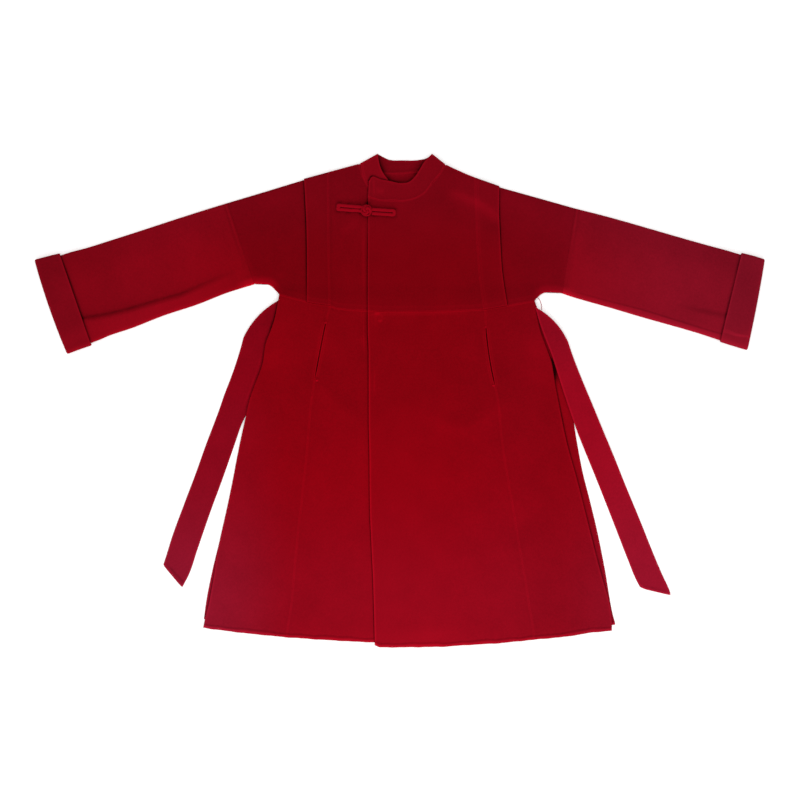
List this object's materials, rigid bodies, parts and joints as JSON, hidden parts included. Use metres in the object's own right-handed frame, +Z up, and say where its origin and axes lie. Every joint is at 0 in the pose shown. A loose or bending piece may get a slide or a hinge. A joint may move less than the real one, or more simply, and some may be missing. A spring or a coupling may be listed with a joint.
{
  "type": "hanfu coat",
  "caption": "Red felted-wool hanfu coat laid flat: stand collar, lapped front with a knotted frog, shoulder strips, A-line skirt with slit pockets, turned-back cuffs and a tie belt.",
  "frame": {"origin": "middle of the laid coat's footprint, on the surface it lies on", "axes": "+X across the coat from cuff to cuff, towards the wearer's left; +Y from the hem to the neck; +Z up from the surface, out of the coat's front"},
  "size_m": [1.46, 0.9863, 0.0186],
  "materials": {
    "wool": "matte red felted double-faced wool with a short nap",
    "wool_cord": "matte red bias cord covered in the same wool"
  },
  "bodies": {
    "root": {"belt_back": "wool", "belt_end_right": "wool", "belt_end_left": "wool", "back_skirt": "wool", "side_skirt_right": "wool", "front_skirt_right": "wool", "front_skirt_left": "wool", "side_skirt_left": "wool", "back_bodice": "wool", "side_bodice_right": "wool", "side_bodice_left": "wool", "front_bodice_right": "wool", "front_bodice_left": "wool", "shoulder_strip_right": "wool", "shoulder_strip_left": "wool", "collar_back": "wool", "collar_under": "wool", "collar_over": "wool", "sleeve_right": "wool", "sleeve_left": "wool", "cuff_right": "wool", "cuff_left": "wool", "frog_arm_right": "wool_cord", "frog_arm_left": "wool_cord", "frog_knot": "wool_cord"}
  },
  "joints": []
}
